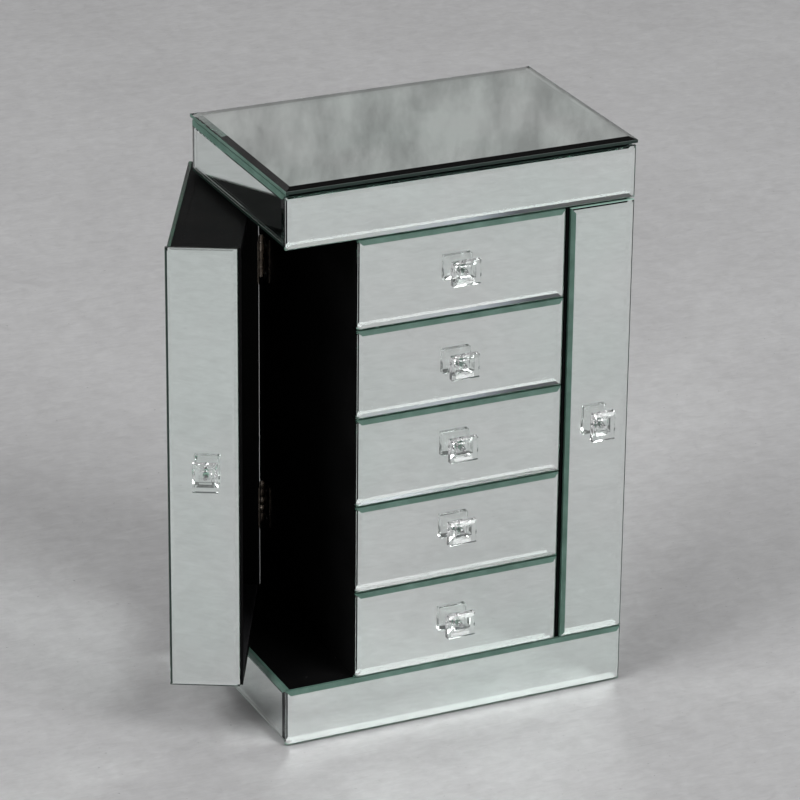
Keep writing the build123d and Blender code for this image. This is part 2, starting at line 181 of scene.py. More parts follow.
def make_board(name, gloss):
    """Black sprayed board: orange peel, fine grit and settled dust on upward faces."""
    board = Shader(name, IOR=1.46, Specular_IOR_Level=gloss)
    peel = board.noise(420, 4, 0.55)
    patch = board.noise(16, 5, 0.6)
    tone = board.mix(board.range(patch, 0.3, 0.7, 0.0, 1.0),
                     (0.0020, 0.0020, 0.0021, 1), (0.0048, 0.0048, 0.0050, 1))
    speck = board.noise(1300, 2, 0.5)
    few = board.range(speck, 0.75, 0.78, 0.0, 1.0)
    normal = board.node("ShaderNodeNewGeometry").outputs["Normal"]
    up = board.node("ShaderNodeSeparateXYZ", {0: normal}).outputs["Z"]
    upward = board.range(up, 0.6, 0.95, 0.0, 1.0)
    dust = board.maths("MULTIPLY", few, upward)
    board.set("Base Color", board.mix(dust, tone, (0.20, 0.20, 0.195, 1)))
    board.set("Roughness", board.range(patch, 0.3, 0.7, 0.52, 0.68))
    board.bump(peel, 0.0001, 0.35)
    return board.material


def make_velvet(name, dark, light, sheen):
    """Short pile, brushed this way and that, with a cool sheen."""
    velvet = Shader(name, Roughness=0.95, Sheen_Weight=sheen, Sheen_Roughness=0.35,
                    Sheen_Tint=(0.55, 0.55, 0.60, 1))
    pile = velvet.noise(2100, 4, 0.7)
    brushed = velvet.noise(22, 4, 0.6, velvet.scaled(1, 0.5, 1), 1.2)
    tone = velvet.mix(velvet.range(brushed, 0.35, 0.65, 0.0, 1.0), dark, light)
    nap = velvet.mix(velvet.range(pile, 0.35, 0.65, 0.0, 1.0), grey(0.55), grey(1.0))
    shaded = velvet.node("ShaderNodeMix", {0: 1.0, 6: tone, 7: nap},
                         data_type="RGBA", blend_type="MULTIPLY")
    velvet.set("Base Color", shaded.outputs[2])
    velvet.bump(pile, 0.0004, 0.8)
    return velvet.material


def make_metal(name, dark, light, rough, axis):
    """Rolled or turned metal with fine lines along one axis and a slight tarnish."""
    metal = Shader(name, Metallic=1.0)
    scale = [900.0, 900.0, 900.0]
    scale[axis] = 40.0
    lines = metal.noise(1.0, 4, 0.6, metal.scaled(*scale))
    tarnish = metal.noise(130, 5, 0.65)
    metal.set("Base Color", metal.mix(metal.range(tarnish, 0.35, 0.7, 0.0, 1.0), light, dark))
    both = metal.maths("MULTIPLY", lines, tarnish)
    metal.set("Roughness", metal.range(both, 0.1, 0.45, rough - 0.08, rough + 0.14))
    metal.bump(lines, 0.00004, 0.5)
    return metal.material


GLASS_MAT = make_glass()
EDGE_MAT = make_edge("ground_glass_edge",
                     (0.48, 0.72, 0.62, 1), (0.60, 0.82, 0.73, 1), (0.80, 0.88, 0.85, 1))
# Painted shade: a near black coat with a green cast, for edges and bevels that show dark.
SHADE_PAINT_MAT = make_edge("painted_shade_glass_edge",
                        (0.007, 0.021, 0.016, 1), (0.013, 0.034, 0.026, 1), (0.03, 0.06, 0.05, 1))
# Painted light: an opaque green coat in place of the green depth that light through the glass shows in a bevel.
DEPTH_PAINT_MAT = make_edge("painted_glass_depth",
                     (0.070, 0.150, 0.115, 1), (0.140, 0.250, 0.205, 1), (0.22, 0.33, 0.29, 1))
SILVER_MAT = make_silver()
CRYSTAL_MAT = make_crystal()
BOARD_MAT = make_board("black_board", BOARD_GLOSS)
FLOCK_MAT = make_board("black_flocked_board", FLOCK_GLOSS)
VELVET_MAT = make_velvet("black_velvet", (0.006, 0.006, 0.008, 1), (0.014, 0.014, 0.017, 1), 0.25)
FELT_MAT = make_velvet("black_felt", (0.010, 0.010, 0.010, 1), (0.022, 0.022, 0.022, 1), 0.08)
BRONZE_MAT = make_metal("dark_bronze", (0.13, 0.105, 0.085, 1), (0.30, 0.26, 0.22, 1), 0.26, 2)
BRASS_MAT = make_metal("hook_brass", (0.45, 0.33, 0.17, 1), (0.80, 0.66, 0.40, 1), 0.26, 2)
STEEL_MAT = make_metal("turned_steel", (0.42, 0.42, 0.43, 1), (0.70, 0.70, 0.71, 1), 0.24, 0)
SLOT_MATERIALS = {"mirror_glass": GLASS_MAT, "crystal": CRYSTAL_MAT, "black_board": BOARD_MAT,
                  "velvet": VELVET_MAT, "felt": FELT_MAT, "hinge_brass": BRONZE_MAT,
                  "hook_brass": BRASS_MAT, "pin_steel": STEEL_MAT, "screw_steel": STEEL_MAT}
SLOT_OF = {part["node"]: part["material_slot"] for part in frame["record"]["subparts"]}
BODY_OF = {node: body for body, members in frame["record"]["behaviour"]["bodies"].items()
           for node in members}


# ---------------------------------------------------------------- mesh helpers
WELD = 0.002 * MM            # corners of CAD faces this close together are one
FLAT_ANGLE = math.radians(1)
SHARP_ANGLE = math.radians(40)


def middle(low, high):
    return (low + high) / 2


def frame_of(origin, right, up, out):
    """Matrix with a local plane's centre, its two directions and its outward normal."""
    made = Matrix((Vector(right), Vector(up), Vector(out))).transposed().to_4x4()
    made.translation = origin
    return made


def new_object(name, bm, *materials):
    mesh = bpy.data.meshes.new(name)
    bm.to_mesh(mesh)
    bm.free()
    made = bpy.data.objects.new(name, mesh)
    bpy.context.scene.collection.objects.link(made)
    for material in materials:
        mesh.materials.append(material)
    return made


def stands_for(piece, node):
    """The piece shows in place of a CAD node, on its body."""
    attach(piece, BODY_OF[node])
    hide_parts(node)


def separate_solids(bm):
    """Solids that touch share merged edges with four faces; takes them apart there."""
    left = set(bm.faces)
    groups = []
    while left:
        queue = [left.pop()]
        group = list(queue)
        while queue:
            for edge in queue.pop().edges:
                if len(edge.link_faces) == 2:
                    fresh = [face for face in edge.link_faces if face in left]
                    left.difference_update(fresh)
                    queue += fresh
                    group += fresh
        groups.append(group)
    for group in groups[1:]:
        bmesh.ops.split(bm, geom=group)


def softened(node, width):
    """The node's own solids with their sharp edges rounded, as sanded wood or pressed metal."""
    bm = bmesh.new()
    bm.from_mesh(nodes[node].data)
    bmesh.ops.remove_doubles(bm, verts=bm.verts, dist=WELD)
    separate_solids(bm)
    bmesh.ops.dissolve_limit(bm, angle_limit=FLAT_ANGLE, verts=bm.verts, edges=bm.edges)
    piece = new_object("look_" + node, bm, SLOT_MATERIALS[SLOT_OF[node]])
    rounding = piece.modifiers.new("rounding", "BEVEL")
    rounding.width = width
    rounding.segments = 2
    rounding.limit_method = "ANGLE"
    rounding.angle_limit = SHARP_ANGLE
    stands_for(piece, node)
    return piece


def joint_of(name):
    return next(joint for joint in frame["joints"] if joint["name"] == name)


def opened(joint):
    """Matrix that turns a closed door to where it stands: its joint's low limit is closed."""
    pivot = Vector(joint["pos_m"])
    turn = Matrix.Rotation(math.radians(-joint["range_deg"][0]), 4, Vector(joint["axis"]))
    return Matrix.Translation(pivot) @ turn @ Matrix.Translation(-pivot)


LEFT_OPEN = opened(joint_of("left_door_hinge"))


def turn_of(node):
    """Matrix from a node's closed place to where it stands; only the left door stands open."""
    return LEFT_OPEN if BODY_OF[node] == "left_door" else Matrix.Identity(4)


def closed_box(node):
    """Corners of a node's box with its door closed."""
    back = turn_of(node).inverted()
    points = [back @ vertex.co for vertex in nodes[node].data.vertices]
    spans = [[point[axis] for point in points] for axis in range(3)]
    return tuple(Vector([pick(span) for span in spans]) for pick in (min, max))


# ---------------------------------------------------------------- bevelled mirrors
GLASS_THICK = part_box("base_mirror_front")[1].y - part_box("base_mirror_front")[0].y
BACK_CLEAR = 0.06 * MM       # paint and glue between the silver and the board
ARRIS = 0.22 * MM            # the stone's small flat on each outer edge
SHADE_LINE_WIDTH = 1.7 * MM            # width of a dark line painted along the rim of some bevels: painted shade
SHADED = 3.3 * MM            # width of the rim of a bevel under the opaque coats: painted green glass depth or painted reflection
PANEL_BEVEL = (4.0 * MM, 1.4 * MM)
SLAB_BEVEL = (5.0 * MM, 1.6 * MM)
KNOB_HOLE = 1.9 * MM
HOLE_STEPS = 32
DRAWERS = range(1, 6)
DOORS = {"left_door": -1, "right_door": 1}
KNOB_OWNERS = [f"drawer_{number}" for number in DRAWERS] + list(DOORS)

# Material slots of a pane. The fourth is a coat of painted shade, the fifth a coat of painted light: the green
# depth of the glass.
CLEAR, SILVERED, EDGE, SHADE_PAINT, DEPTH_PAINT = range(5)
# Kinds of edge besides a plain slot for the edge alone:
ROUGH = -1                   # a ground edge that shows: the clear slot, marked ground
SHADE_LINE_EDGE = -2                   # the same with a dark line painted along its bevel: painted shade
DEPTH_BAND_PAINT = -3                   # an opaque green coat on the edge and the bevel's rim: painted light, the green depth of the glass
DARK_REFLECTION_PAINT = -4                   # a near black coat on the edge and the bevel's rim: painted reflection of the black boards below
BROAD = {DEPTH_BAND_PAINT: DEPTH_PAINT, DARK_REFLECTION_PAINT: SHADE_PAINT}
EDGE_BANDS = 3               # bands of faces between the outlines that make up the edge
BROAD_BANDS = 5              # those and the bevel as far as SHADED
# Lower, right, upper and left edge of each sort of pane, seen from its front; on a side pane the
# second is the front one and the fourth the rear one.
JOINTED = (EDGE, ROUGH, DEPTH_BAND_PAINT, ROUGH)
BESIDE_DRAWERS = (EDGE, ROUGH, EDGE, DEPTH_BAND_PAINT)
# The frieze front's upper edge is painted shade, dark as in the shadow of the lid.
FRIEZE_FRONT = (EDGE, ROUGH, SHADE_PAINT, ROUGH)
# The frieze sides' lower bevels are a painted reflection of the dark door tops.
FRIEZE_SIDE = (DARK_REFLECTION_PAINT, ROUGH, DEPTH_BAND_PAINT, SHADE_LINE_EDGE)
# The open door's outer edge and the frieze sides' rear edges carry the painted shade line.
OPEN_DOOR = (ROUGH, ROUGH, ROUGH, SHADE_LINE_EDGE)
# The slab's front edge is painted shade, its side edges painted green glass depth.
SLAB = (SHADE_PAINT, DEPTH_PAINT, EDGE, DEPTH_PAINT)


def panel_rings(bevel, drop):
    """Outlines of a bevelled pane from its silvered back to its front, as (inset, depth)."""
    edge = GLASS_THICK - drop
    slope = drop / bevel
    return [(ARRIS, BACK_CLEAR), (0.0, BACK_CLEAR + ARRIS), (0.0, edge - ARRIS),
            (ARRIS, edge + ARRIS * slope), (SHADE_LINE_WIDTH, edge + SHADE_LINE_WIDTH * slope),
            (SHADED, edge + SHADED * slope), (bevel, GLASS_THICK)]


def ring_at(bm, place, points, depth):
    """A loop of vertices at one depth over the local XY plane of place."""
    return [bm.verts.new(place @ Vector((x, y, depth))) for x, y in points]


def circle_at(bm, place, centre, radius, depth, steps):
    turns = [2 * math.pi * i / steps for i in range(steps)]
    points = [(centre[0] + radius * math.cos(a), centre[1] + radius * math.sin(a)) for a in turns]
    return ring_at(bm, place, points, depth)


def loop_edges(bm, loop):
    return [bm.edges.get(pair) for pair in zip(loop, loop[1:] + loop[:1])]


def bridge(bm, lower, upper):
    """Quads between two closed loops of the same length."""
    pairs = zip(lower, lower[1:] + lower[:1], upper[1:] + upper[:1], upper)
    return [bm.faces.new(corners) for corners in pairs]


def fill_between(bm, outer, inner):
    """Triangles between an outline and a hole in it."""
    edges = loop_edges(bm, outer) + loop_edges(bm, inner)
    filled = bmesh.ops.triangle_fill(bm, use_beauty=True, edges=edges)
    return [item for item in filled["geom"] if isinstance(item, bmesh.types.BMFace)]


def finish_band(face, kind, band, ground):
    """Gives a face on one edge of a pane its slot; bands count from the silvered back."""
    if kind in BROAD:
        face.material_index = BROAD[kind] if band < BROAD_BANDS else CLEAR
    elif band < EDGE_BANDS:
        face.material_index = max(kind, CLEAR)
        face[ground] = float(kind in (ROUGH, SHADE_LINE_EDGE))
    elif band == EDGE_BANDS and kind == SHADE_LINE_EDGE:
        face.material_index = SHADE_PAINT


def mirror_pane(bm, place, wide, tall, bevel, drop, edges, hole=None):
    """Adds one silvered pane. place puts its local XY plane, its back, into the frame."""
    ground = bm.faces.layers.float.get("ground") or bm.faces.layers.float.new("ground")
    rings = []
    for inset, depth in panel_rings(bevel, drop):
        x, y = wide / 2 - inset, tall / 2 - inset
        rings.append(ring_at(bm, place, [(-x, -y), (x, -y), (x, y), (-x, y)], depth))
    for band, (lower, upper) in enumerate(zip(rings, rings[1:])):
        for face, kind in zip(bridge(bm, lower, upper), edges):
            finish_band(face, kind, band, ground)
    back, front = rings[0], rings[-1]
    if hole is None:
        bm.faces.new(reversed(back)).material_index = SILVERED
        bm.faces.new(front)
        return
    behind, ahead = [circle_at(bm, place, hole, KNOB_HOLE, depth, HOLE_STEPS)
                     for depth in (BACK_CLEAR, GLASS_THICK)]
    for face in bridge(bm, ahead, behind):
        face.material_index = EDGE
    for outer, inner, slot in ((back, behind, SILVERED), (front, ahead, CLEAR)):
        for face in fill_between(bm, outer, inner):
            face.material_index = slot


def mirror_piece(node, *panes):
    """One piece for a mirror node. Each pane is (place, wide, tall, bevel, drop, edges) and, where
    a knob goes through it, the hole's centre."""
    bm = bmesh.new()
    for place, *sizes in panes:
        mirror_pane(bm, turn_of(node) @ place, *sizes)
    bmesh.ops.recalc_face_normals(bm, faces=bm.faces)
    slots = (GLASS_MAT, SILVER_MAT, EDGE_MAT, SHADE_PAINT_MAT, DEPTH_PAINT_MAT)
    stands_for(new_object("look_" + node, bm, *slots), node)


def edges_of(node):
    """The open door shows all its edges; elsewhere the lower ones lie in joints."""
    if BODY_OF[node] == "left_door":
        return OPEN_DOOR
    if BODY_OF[node] == "right_door":
        return BESIDE_DRAWERS
    if node == "frieze_mirror_sides":
        return FRIEZE_SIDE
    return FRIEZE_FRONT if node == "frieze_mirror_front" else JOINTED


def front_pane(node, hole_node=None):
    """A bevelled pane on the front, with a hole where another node's centre is."""
    low, high = closed_box(node)
    centre = Vector((middle(low.x, high.x), high.y, middle(low.z, high.z)))
    hole = None
    if hole_node:
        first, last = closed_box(hole_node)
        hole = (middle(first.x, last.x) - centre.x, middle(first.z, last.z) - centre.z)
    place = frame_of(centre, (1, 0, 0), (0, 0, 1), (0, -1, 0))
    return (place, high.x - low.x, high.z - low.z, *PANEL_BEVEL, edges_of(node), hole)


def side_pane(node, side):
    """The outer face of a side pane; side is -1 for left and 1 for right."""
    low, high = closed_box(node)
    outer = high.x if side > 0 else low.x
    centre = Vector((outer - side * GLASS_THICK, middle(low.y, high.y), middle(low.z, high.z)))
    place = frame_of(centre, (0, side, 0), (0, 0, 1), (side, 0, 0))
    lower, front, upper, rear = edges_of(node)
    edges = (lower, front, upper, rear) if side < 0 else (lower, rear, upper, front)
    return (place, high.y - low.y, high.z - low.z, *PANEL_BEVEL, edges)


def build_mirrors():
    for level in ("base", "frieze"):
        mirror_piece(f"{level}_mirror_front", front_pane(f"{level}_mirror_front"))
        sides = f"{level}_mirror_sides"
        mirror_piece(sides, side_pane(sides, -1), side_pane(sides, 1))
    for owner in KNOB_OWNERS:
        front = owner + ("_mirror_front" if owner in DOORS else "_mirror")
        mirror_piece(front, front_pane(front, owner + "_knob"))
    for door, side in DOORS.items():
        mirror_piece(f"{door}_mirror_side", side_pane(f"{door}_mirror_side", side))
    low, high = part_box("lid_mirror")
    centre = Vector((middle(low.x, high.x), middle(low.y, high.y), low.z))
    slab = frame_of(centre, (1, 0, 0), (0, 1, 0), (0, 0, 1))
    mirror_piece("lid_mirror", (slab, high.x - low.x, high.y - low.y, *SLAB_BEVEL, SLAB))


# ---------------------------------------------------------------- crystal knobs
KNOB_ROUND = 0.30 * MM       # small polished flats on the corners of the block
KNOB_NECK = 8.0 * MM
KNOB_CHAMFER = 2.0 * MM
KNOB_STEPS = (1.4 * MM, 3.0 * MM, 6.9 * MM, 8.7 * MM)
BORE_R = 1.55 * MM
BORE_DEPTH = 5.3 * MM
BORE_STEPS = 24
KNOB_SEAT = 0.02 * MM        # air between the knob and the mirror


def cut_corner_ring(half_wide, half_tall, cut):
    """Eight points of a rectangle with its corners cut off."""
    x, y, c = half_wide, half_tall, cut
    return [(x - c, -y), (x, -y + c), (x, y - c), (x - c, y),
            (-x + c, y), (-x, y - c), (-x, -y + c), (-x + c, -y)]


def knob_piece(node, place, wide, tall):
    """Oblong block on a narrow neck, with facets between, a chamfered front and the screw's bore."""
    bm = bmesh.new()
    neck, taper, block_end, front = KNOB_STEPS
    profile = [(KNOB_NECK / 2, KNOB_NECK / 2, KNOB_SEAT), (KNOB_NECK / 2, KNOB_NECK / 2, neck),
               (wide / 2, tall / 2, taper), (wide / 2, tall / 2, block_end),
               (wide / 2 - KNOB_CHAMFER, tall / 2 - KNOB_CHAMFER, front)]
    rings = [ring_at(bm, place, cut_corner_ring(half_wide, half_tall, KNOB_ROUND), depth)
             for half_wide, half_tall, depth in profile]
    for lower, upper in zip(rings, rings[1:]):
        bridge(bm, lower, upper)
    bm.faces.new(rings[-1])
    mouth, end = [circle_at(bm, place, (0, 0), BORE_R, depth, BORE_STEPS)
                  for depth in (KNOB_SEAT, BORE_DEPTH)]
    bridge(bm, end, mouth)
    bm.faces.new(end)
    fill_between(bm, rings[0], mouth)
    bmesh.ops.recalc_face_normals(bm, faces=bm.faces)
    stands_for(new_object("look_" + node, bm, CRYSTAL_MAT), node)


SCREW_R = 1.5 * MM
SCREW_CORE = 1.2 * MM
SCREW_PITCH = 0.5 * MM
SCREW_BITE = 5.0 * MM        # how far the screw reaches into the knob
SCREW_HEAD_R = 3.4 * MM
SCREW_HEAD = 2.0 * MM
CROSS_DEPTH = 1.0 * MM
THREAD_STEPS = 20            # steps of the thread's helix in one turn


def screw_piece(node, place, reach):
    """Pan head with a cross slot and a threaded shank. place has its XY plane on the mirror's
    front, +Z into the knob; reach is how far inside the door or drawer front the head sits."""
    bm = bmesh.new()
    length = reach + SCREW_BITE
    rows = []
    steps = int(length / SCREW_PITCH * THREAD_STEPS)
    for i in range(steps + 1):
        angle = 2 * math.pi * i / THREAD_STEPS
        depth = SCREW_BITE - length * i / steps
        for radius, shift in ((SCREW_CORE, 0.0), (SCREW_R, SCREW_PITCH / 2)):
            rows.append((radius, angle, depth - shift))
    inner, outer = [[bm.verts.new(place @ Vector((r * math.cos(a), r * math.sin(a), d)))
                     for r, a, d in rows[start::2]] for start in (0, 1)]
    for i in range(len(inner) - 1):
        bm.faces.new((inner[i], inner[i + 1], outer[i + 1], outer[i]))
        after = i + THREAD_STEPS
        if after + 1 < len(inner):
            bm.faces.new((outer[i], outer[i + 1], inner[after + 1], inner[after]))
    # Tip and head are turned profiles of (radius, depth).
    tip = [(0.0, SCREW_BITE), (SCREW_CORE, SCREW_BITE - 0.4 * MM),
           (SCREW_CORE, SCREW_BITE - 1.2 * MM)]
    under = -reach
    head = [(SCREW_CORE, under + 0.3 * MM), (SCREW_HEAD_R, under), (SCREW_HEAD_R, under - 0.9 * MM),
            (SCREW_HEAD_R * 0.86, under - 1.6 * MM), (SCREW_HEAD_R * 0.55, under - SCREW_HEAD),
            (SCREW_HEAD_R * 0.30, under - SCREW_HEAD), (SCREW_HEAD_R * 0.22, under - CROSS_DEPTH),
            (0.0, under - CROSS_DEPTH)]
    for outline in (tip, head):
        lathe(bm, place, outline, HOLE_STEPS)
    bmesh.ops.remove_doubles(bm, verts=bm.verts, dist=0.001 * MM)
    bmesh.ops.recalc_face_normals(bm, faces=bm.faces)
    stands_for(new_object("look_" + node, bm, STEEL_MAT), node)


def lathe(bm, place, outline, steps):
    """Turned surface from (radius, depth) points about the local Z axis."""
    rings = []
    for radius, depth in outline:
        if radius == 0.0:
            rings.append([bm.verts.new(place @ Vector((0, 0, depth)))])
        else:
            rings.append(circle_at(bm, place, (0, 0), radius, depth, steps))
    for lower, upper in zip(rings, rings[1:]):
        for i in range(steps):
            j = (i + 1) % steps
            places = ((lower, i), (lower, j), (upper, j), (upper, i))
            corners = [ring[place % len(ring)] for ring, place in places]
            bm.faces.new(list(dict.fromkeys(corners)))


def build_knobs():
    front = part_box("drawer_1_mirror")[0].y
    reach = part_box("drawer_1_knob_screw")[1].y - SCREW_HEAD - front
    for owner in KNOB_OWNERS:
        low, high = closed_box(owner + "_knob")
        centre = Vector((middle(low.x, high.x), front, middle(low.z, high.z)))
        place = turn_of(owner + "_knob") @ frame_of(centre, (1, 0, 0), (0, 0, 1), (0, -1, 0))
        knob_piece(owner + "_knob", place, high.x - low.x, high.z - low.z)
        screw_piece(owner + "_knob_screw", place, reach)


# ---------------------------------------------------------------- linings and pads
VELVET = 1.2 * MM            # thickness of the CAD linings
STILE = 12.0 * MM
SCREW_ROOM = 2.2 * MM        # linings start this far behind the front board, past the screw's head
STILE_EASE = 0.5 * MM
WALL_PAD = 1.3 * MM
SEAM_IN = 6 * MM             # sewn groove of a lining, from its border


def steps_along(length, roll, coarse):
    """Places along one side of a pad, closer together over its rounded edges."""
    near = [roll * (1 - math.cos(math.pi / 2 * i / 5)) for i in range(5)]
    count = max(2, round((length - 2 * roll) / coarse))
    flat = [roll + (length - 2 * roll) * i / count for i in range(count + 1)]
    return near + flat + [length - step for step in reversed(near)]


def pad(bm, place, wide, tall, thick,
        roll=1.2 * MM, crown=0.0, seam=0.0, both=False, coarse=5 * MM):
    """Adds a padded panel: flat back on the local XY plane, rounded edges, a crowned and slightly
    uneven face, and a sewn groove near its border where seam gives its distance from the edge.
    With both, its back bulges like its front. place is at the middle of the panel."""
    across, along = steps_along(wide, roll, coarse), steps_along(tall, roll, coarse)
    shift = noise.random() * 50

    def height(x, y):
        edge = min(x, wide - x, y, tall - y)
        arch = math.sqrt(max(0.0, 1 - (1 - min(edge / roll, 1.0)) ** 2))
        dome = crown * math.sin(math.pi * x / wide) ** 0.7 * math.sin(math.pi * y / tall) ** 0.7
        fluff = noise.noise(Vector((x * 90 + shift, y * 90, shift))) * 0.22 * MM
        fluff += noise.noise(Vector((x * 26, y * 26 + shift, shift))) * 0.35 * MM
        groove = 0.55 * MM * math.exp(-((edge - seam) / (0.9 * MM)) ** 2) if seam else 0.0
        raised = thick + dome + fluff * min(1.0, thick / (1.5 * MM)) - groove
        return arch * max(0.35 * thick, raised)

    sheets = []
    for sign in ((1, -1) if both else (1,)):
        sheets.append([[place @ Vector((x - wide / 2, y - tall / 2, sign * height(x, y)))
                        for y in along] for x in across])
    last_x, last_y = len(across) - 1, len(along) - 1
    made = [[[bm.verts.new(point) for point in row] for row in sheet] for sheet in sheets]
    for grid in made:
        for i in range(last_x):
            for j in range(last_y):
                bm.faces.new((grid[i][j], grid[i + 1][j], grid[i + 1][j + 1], grid[i][j + 1]))
    if not both:
        grid = made[0]
        rim = [grid[i][0] for i in range(last_x)] + [grid[last_x][j] for j in range(last_y)]
        rim += [grid[i][last_y] for i in range(last_x, 0, -1)]
        rim += [grid[0][j] for j in range(last_y, 0, -1)]
        bm.faces.new(rim)


def pad_piece(node, *pads, fill=0.8):
    """One soft piece for a node. Each pad is (place, wide, tall, thick, options)."""
    bm = bmesh.new()
    for place, wide, tall, thick, options in pads:
        pad(bm, turn_of(node) @ place, wide, tall, thick, **options)
    return soft_piece(node, bm)


def soft_piece(node, bm, material=None):
    bmesh.ops.remove_doubles(bm, verts=bm.verts, dist=0.0005 * MM)
    bmesh.ops.recalc_face_normals(bm, faces=bm.faces)
    for face in bm.faces:
        face.smooth = len(face.verts) <= 4
    piece = new_object("look_" + node, bm, material or VELVET_MAT)
    stands_for(piece, node)
    return piece


def facing(direction, x, y, z):
    """Place of a pad whose face looks along one axis, such as "+x"."""
    sign = 1 if direction[0] == "+" else -1
    out = Vector([float(axis == direction[1]) for axis in "xyz"]) * sign
    right = Vector((0, 1, 0)) if direction[1] == "x" else Vector((1, 0, 0))
    return frame_of(Vector((x, y, z)), right, out.cross(right), out)


def build_drawer_linings():
    for number in DRAWERS:
        node = f"drawer_{number}_lining"
        low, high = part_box(node)
        deep, rise = high.y - low.y, high.z - low.z - VELVET
        wall_y = middle(low.y + SCREW_ROOM, high.y)
        wall_z = middle(low.z + VELVET, high.z)
        wide = high.x - low.x
        walls = [(facing("+x", low.x, wall_y, wall_z), deep - SCREW_ROOM, rise, WALL_PAD, {}),
                 (facing("-x", high.x, wall_y, wall_z), deep - SCREW_ROOM, rise, WALL_PAD, {}),
                 (facing("-y", 0, high.y, wall_z), wide - 2 * VELVET, rise, WALL_PAD, {})]
        floor = (facing("+z", 0, middle(low.y, high.y), low.z), wide, deep, 1.8 * MM,
                 {"crown": 1.2 * MM, "seam": SEAM_IN, "coarse": 3 * MM})
        pad_piece(node, floor, *walls, fill=0.7)


def build_door_linings():
    for door, side in DOORS.items():
        node = f"{door}_lining"
        low, high = closed_box(node)
        wall = high.x if side > 0 else low.x
        open_side = low.x if side > 0 else high.x
        rise = high.z - low.z - VELVET
        wall_z = middle(low.z + VELVET, high.z)
        inward = "-x" if side > 0 else "+x"
        stile_x = open_side + side * (STILE - STILE_EASE)
        back_wide = abs(wall - stile_x) - VELVET
        back_x = stile_x + side * back_wide / 2
        pads = [(facing(inward, wall, middle(low.y, high.y), wall_z), high.y - low.y, rise,
                 WALL_PAD, {"crown": 0.5 * MM, "seam": SEAM_IN}),
                (facing("+z", middle(low.x, high.x), middle(low.y, high.y - STILE), low.z),
                 high.x - low.x, high.y - STILE - low.y, WALL_PAD, {"crown": 0.4 * MM}),
                (facing("-y", back_x, high.y, wall_z), back_wide, rise, WALL_PAD, {})]
        pad_piece(node, *pads, fill=0.7)


def build_tray():
    low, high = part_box("lid_lining")
    quilt = (facing("-z", 0, middle(low.y, high.y), high.z), high.x - low.x, high.y - low.y,
             1.0 * MM, {"crown": 0.9 * MM, "seam": 8 * MM})
    pad_piece("lid_lining", quilt, fill=0.7)
    low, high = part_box("tray_insert")
    rolls_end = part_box("ring_rolls")[1].x
    thick = 3.0 * MM
    part_x = rolls_end + ROLL_GAP + thick / 2
    floor_top = low.z + VELVET
    part_z, part_tall = middle(floor_top, high.z), high.z - floor_top
    centre_y = middle(low.y, high.y)
    wrapped = {"both": True, "roll": 1.4 * MM, "coarse": 4 * MM}
    cross_low = part_x + thick / 2
    cross_x = middle(cross_low, high.x)
    wide, deep = high.x - low.x, high.y - low.y
    pads = [(facing("+z", 0, centre_y, low.z), wide, deep, VELVET, {"seam": 5 * MM}),
            (facing("+x", part_x, centre_y, part_z), deep, part_tall, thick / 2, wrapped),
            (facing("+y", cross_x, centre_y, part_z), high.x - cross_low, part_tall,
             thick / 2, wrapped)]
    pad_piece("tray_insert", *pads, fill=0.8)
    low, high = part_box("base_felt")
    bm = bmesh.new()
    pad(bm, facing("+z", 0, middle(low.y, high.y), low.z), high.x - low.x, high.y - low.y,
        high.z - low.z, roll=0.4 * MM, coarse=8 * MM)
    felt = soft_piece("base_felt", bm, FELT_MAT)


# ---------------------------------------------------------------- ring rolls
ROLLS = 8
ROLL_AROUND = 30
ROLL_STEP = 2.0 * MM
SIM_SCALE = 10.0             # cloth of this size swells evenly when simulated ten times larger
SIM_FRAMES = 20
SWELL_CAP = 0.9 * MM
COVER_PRESSURE = 4.0
ROLL_GAP = 0.4 * MM          # between one roll and the next, and beside them
ROLL_SEEDS = (1.7, 5.2)


def roll_points(length, wide, tall, seed):
    """Loops of points along a stuffed roll: flat under, domed above, pulled in at its ends."""
    count = round(length / ROLL_STEP)
    loops = []
    for i in range(count + 1):
        x = length * i / count
        end = min(x, length - x)
        pull = math.sqrt(max(0.02, 1 - (1 - min(end / (6 * MM), 1.0)) ** 2))
        loop = []
        for j in range(ROLL_AROUND):
            angle = 2 * math.pi * j / ROLL_AROUND
            c, s = math.cos(angle), math.sin(angle)
            y = wide / 2 * math.copysign(abs(c) ** 0.75, c) * pull
            z = tall / 2 * (1 + math.copysign(abs(s) ** 0.62, s) * pull)
            pucker = 0.25 * MM * math.sin(9 * angle + seed) * math.exp(-end / (5 * MM))
            lump = noise.noise(Vector((x * 60, angle * 1.3, seed))) * 0.35 * MM
            lift = (pucker + lump) * max(0.0, s + 0.4)
            loop.append(Vector((x, y + c * lift, max(0.0, z + s * lift))))
        loops.append(loop)
    return loops


def roll_bmesh(loops):
    bm = bmesh.new()
    rings = [[bm.verts.new(point) for point in loop] for loop in loops]
    for lower, upper in zip(rings, rings[1:]):
        bridge(bm, lower, upper)
    bm.faces.new(rings[0])
    bm.faces.new(rings[-1])
    bmesh.ops.recalc_face_normals(bm, faces=bm.faces)
    return bm


